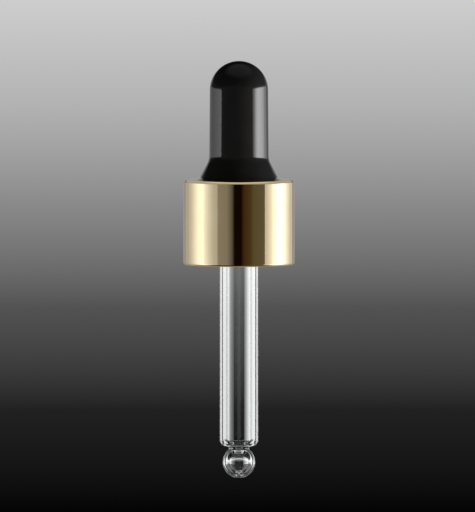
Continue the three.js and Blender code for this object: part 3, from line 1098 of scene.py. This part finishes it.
def paint_levels(lamp, levels, middle, tint):
    """Colours the panel across its width, so that each azimuth gets its level."""
    peak = max(level for _, level in levels)
    half_width = math.tan(math.radians(abs(levels[-1][0] - middle)))
    lamp.data.use_nodes = True
    tree = lamp.data.node_tree
    spot = add_node(tree, "ShaderNodeNewGeometry")
    split = add_node(tree, "ShaderNodeSeparateXYZ")
    profile = add_node(tree, "ShaderNodeValToRGB")
    stops = profile.color_ramp.elements
    for azimuth, level in levels:
        position = 0.5 + math.tan(math.radians(azimuth - middle)) / (2 * half_width)
        if azimuth in (levels[0][0], levels[-1][0]):
            stop = stops[0] if position < 0.5 else stops[-1]
        else:
            stop = stops.new(position)
        stop.color = (*[level / peak * part for part in tint], 1)
    wire(spot.outputs["Parametric"], split.inputs["Vector"])
    wire(split.outputs["X"], profile.inputs["Fac"])
    wire(profile.outputs["Color"], tree.nodes["Emission"].inputs["Color"])


def softbox(name, levels, low_z, high_z, lit, tint=(1.0, 1.0, 1.0)):
    """A panel that faces the axis and lights some pieces only.

    Its levels are pairs of an azimuth and the brightness there. Azimuth 0 is the camera's side
    and grows to its right.
    """
    middle = (levels[0][0] + levels[-1][0]) / 2
    angle = math.radians(middle)
    data = bpy.data.lights.new(name, "AREA")
    data.shape = "RECTANGLE"
    data.size = 2 * PANEL_DISTANCE * math.tan(math.radians(abs(levels[-1][0] - middle)))
    data.size_y = high_z - low_z
    data.energy = max(level for _, level in levels) * math.pi * data.size * data.size_y
    lamp = bpy.data.objects.new(name, data)
    bpy.context.scene.collection.objects.link(lamp)
    lamp.location = (
        PANEL_DISTANCE * math.sin(angle),
        -PANEL_DISTANCE * math.cos(angle),
        (low_z + high_z) / 2,
    )
    lamp.rotation_euler = (math.pi / 2, 0, angle)
    lamp.visible_camera = False
    light_only(lamp, lit)
    paint_levels(lamp, levels, middle, tint)
    print(name, "is", round(data.size, 2), "m wide and lights", [piece.name for piece in lit])


print("panels stand", PANEL_DISTANCE, "m from the axis")

# %% [markdown]
# ### Panels for the gold
#
# Two wide softboxes flank the collar. Between them, at the front left, hangs a dim grey flat. An
# overhead panel keeps the collar's crown and edge golden, where they would otherwise turn black.
# The cap, the washer and the floor share this light.

# %% Light the collar
PANEL_LOW = -0.5
PANEL_HIGH = 0.11
LEFT_LEVELS = (
    (-145, 0.33),
    (-130, 0.42),
    (-115, 0.62),
    (-100, 1.0),
    (-90, 1.3),
    (-80, 1.3),
    (-75, 1.0),
    (-65, 0.7),
    (-55, 0.5),
    (-45, 0.43),
)
RIGHT_LEVELS = (
    (55, 0.5),
    (60, 0.56),
    (70, 0.88),
    (80, 1.5),
    (90, 1.85),
    (100, 1.85),
    (115, 1.05),
    (130, 0.64),
    (145, 0.45),
)
FRONT_FLAT = ((-45, 0.24), (-25, 0.22), (-15, 0.1), (-10, 0.01))
OVERHEAD = {"height": 0.35, "width": 2.4, "level": 0.45}

plain_pieces = (gold_shell, plastic_cap, foam_washer, floor)
softbox("left_softbox", LEFT_LEVELS, PANEL_LOW, PANEL_HIGH, plain_pieces, COOL)
softbox("right_softbox", RIGHT_LEVELS, PANEL_LOW, PANEL_HIGH, plain_pieces, COOL)
softbox("front_flat", FRONT_FLAT, PANEL_LOW, PANEL_HIGH, plain_pieces)

overhead_data = bpy.data.lights.new("overhead_panel", "AREA")
overhead_data.size = OVERHEAD["width"]
overhead_data.energy = OVERHEAD["level"] * math.pi * OVERHEAD["width"] ** 2
overhead_panel = bpy.data.objects.new("overhead_panel", overhead_data)
bpy.context.scene.collection.objects.link(overhead_panel)
overhead_panel.location = (0, 0, OVERHEAD["height"])
overhead_panel.visible_camera = False
light_only(overhead_panel, plain_pieces)

# %% [markdown]
# ### Panels for the rubber
#
# Rubber mirrors only a few hundredths of the light, so its strips have to be many times brighter
# than the softboxes. They are narrow, with a hard edge towards the front, and end just above the
# wall, which leaves the dome dark. A faint glow from the front lifts the black between them.

# %% Light the bulb
LEFT_STRIP = ((-150, 0.3), (-130, 0.6), (-115, 1.1), (-100, 1.95), (-75, 3.7), (-73, 3.7))
RIGHT_STRIP = (
    (55, 0.5),
    (65, 6.0),
    (75, 12.5),
    (85, 12.2),
    (95, 9.6),
    (105, 7.0),
    (120, 2.2),
    (140, 0.6),
)
FRONT_GLOW = ((-70, 0.12), (50, 0.03))
STRIPS_LOW = -0.4
LEFT_STRIP_HIGH = 0.05
RIGHT_STRIP_HIGH = 0.08
GLOW_HIGH = 0.2

softbox("left_strip", LEFT_STRIP, STRIPS_LOW, LEFT_STRIP_HIGH, (rubber_bulb,))
softbox("right_strip", RIGHT_STRIP, STRIPS_LOW, RIGHT_STRIP_HIGH, (rubber_bulb,))
softbox("front_glow", FRONT_GLOW, STRIPS_LOW, GLOW_HIGH, (rubber_bulb,))

# %% [markdown]
# ### Panels for the glass
#
# A glass tube bends the view outwards, so its bright lines are light from behind, left and
# right of the backdrop's middle. That is where its two rim lights stand. A weak panel behind the
# camera lays the thin veil over the tube that any clean glass mirrors.

# %% Light the pipette
LEFT_RIM_LIGHT = (
    (-173, 0.1),
    (-170, 0.15),
    (-165, 0.3),
    (-160, 0.64),
    (-155, 0.88),
    (-150, 1.05),
    (-140, 0.75),
    (-130, 0.74),
    (-115, 0.95),
)
RIGHT_RIM_LIGHT = (
    (115, 1.0),
    (130, 0.79),
    (140, 0.85),
    (145, 1.1),
    (150, 1.12),
    (155, 1.0),
    (160, 0.87),
    (165, 0.7),
    (170, 0.33),
    (173, 0.13),
)
VEIL = ((-12, 0.17), (12, 0.17))

RIM_LOW = -0.13
RIM_HIGH = 0.02
LOWER_SHARE = 0.2  # brightness of the rim lights' lower part, which shows from above

softbox("left_rim_light", LEFT_RIM_LIGHT, RIM_LOW, RIM_HIGH, (glass_pipette,))
softbox("right_rim_light", RIGHT_RIM_LIGHT, RIM_LOW, RIM_HIGH, (glass_pipette,))
for name, levels in (("left_lower_rim", LEFT_RIM_LIGHT), ("right_lower_rim", RIGHT_RIM_LIGHT)):
    dimmed = [(azimuth, LOWER_SHARE * level) for azimuth, level in levels]
    softbox(name, dimmed, PANEL_LOW, RIM_LOW, (glass_pipette,))
softbox("front_veil", VEIL, RIM_LOW, RIM_HIGH, (glass_pipette,))

# %% [markdown]
# ### The studio itself
#
# Past the panels the room is dim, and the gold shows it: the dark camera in the middle, a warm
# brown at the front right, and grey paper far behind. The world's background paints these as
# bands round the horizon, cut off above, with a weak glow overhead that keeps the dome alive.

# %% Paint the studio round the object
BANDS = (
    (-180, (0.36, 0.36, 0.37)),
    (-150, (0.34, 0.34, 0.35)),
    (-140, (0.05, 0.05, 0.05)),
    (-60, (0.03, 0.03, 0.03)),
    (-10, (0.006, 0.003, 0.002)),
    (5, (0.006, 0.003, 0.002)),
    (10, (0.05, 0.025, 0.01)),
    (25, (0.075, 0.05, 0.02)),
    (30, (0.10, 0.09, 0.05)),
    (55, (0.12, 0.11, 0.08)),
    (140, (0.05, 0.05, 0.05)),
    (150, (0.34, 0.34, 0.35)),
    (180, (0.36, 0.36, 0.37)),
)
# Heights as the sine of the angle above the horizon.
BANDS_END = (0.16, 0.24)
ABOVE_BANDS = 0.02  # share of the bands' brightness that is left above them
ZENITH = (0.7, 0.95)
ZENITH_GLOW = 0.25

world = bpy.data.worlds.new("studio")
bpy.context.scene.world = world
world.use_nodes = True
tree = world.node_tree
background = tree.nodes["Background"]
place = add_node(tree, "ShaderNodeTexCoord")
face_camera = add_node(tree, "ShaderNodeMapping", {"Rotation": (0, 0, math.pi / 2)})
around = add_node(tree, "ShaderNodeTexGradient", gradient_type="RADIAL")
bands = add_node(tree, "ShaderNodeValToRGB")
for position, colour in BANDS[1:-1]:
    bands.color_ramp.elements.new(0.5 + position / 360).color = (*colour, 1)
bands.color_ramp.elements[0].color = (*BANDS[0][1], 1)
bands.color_ramp.elements[-1].color = (*BANDS[-1][1], 1)
split = add_node(tree, "ShaderNodeSeparateXYZ")
dim = add_node(tree, "ShaderNodeVectorMath", operation="SCALE")
total = add_node(tree, "ShaderNodeVectorMath", operation="ADD")
wire(place.outputs["Generated"], face_camera.inputs["Vector"])
wire(face_camera.outputs["Vector"], around.inputs["Vector"])
wire(around.outputs["Fac"], bands.inputs["Fac"])
wire(place.outputs["Generated"], split.inputs["Vector"])
ceiling = remap(tree, split.outputs["Z"], *BANDS_END, 1.0, ABOVE_BANDS, "SMOOTHSTEP")
overhead = remap(tree, split.outputs["Z"], *ZENITH, 0.0, ZENITH_GLOW, "SMOOTHSTEP")
wire(bands.outputs["Color"], dim.inputs[0])
wire(ceiling, dim.inputs["Scale"])
wire(dim.outputs["Vector"], total.inputs[0])
wire(overhead, total.inputs[1])
wire(total.outputs["Vector"], background.inputs["Color"])
print("studio has", len(BANDS), "bands of tone round the horizon")
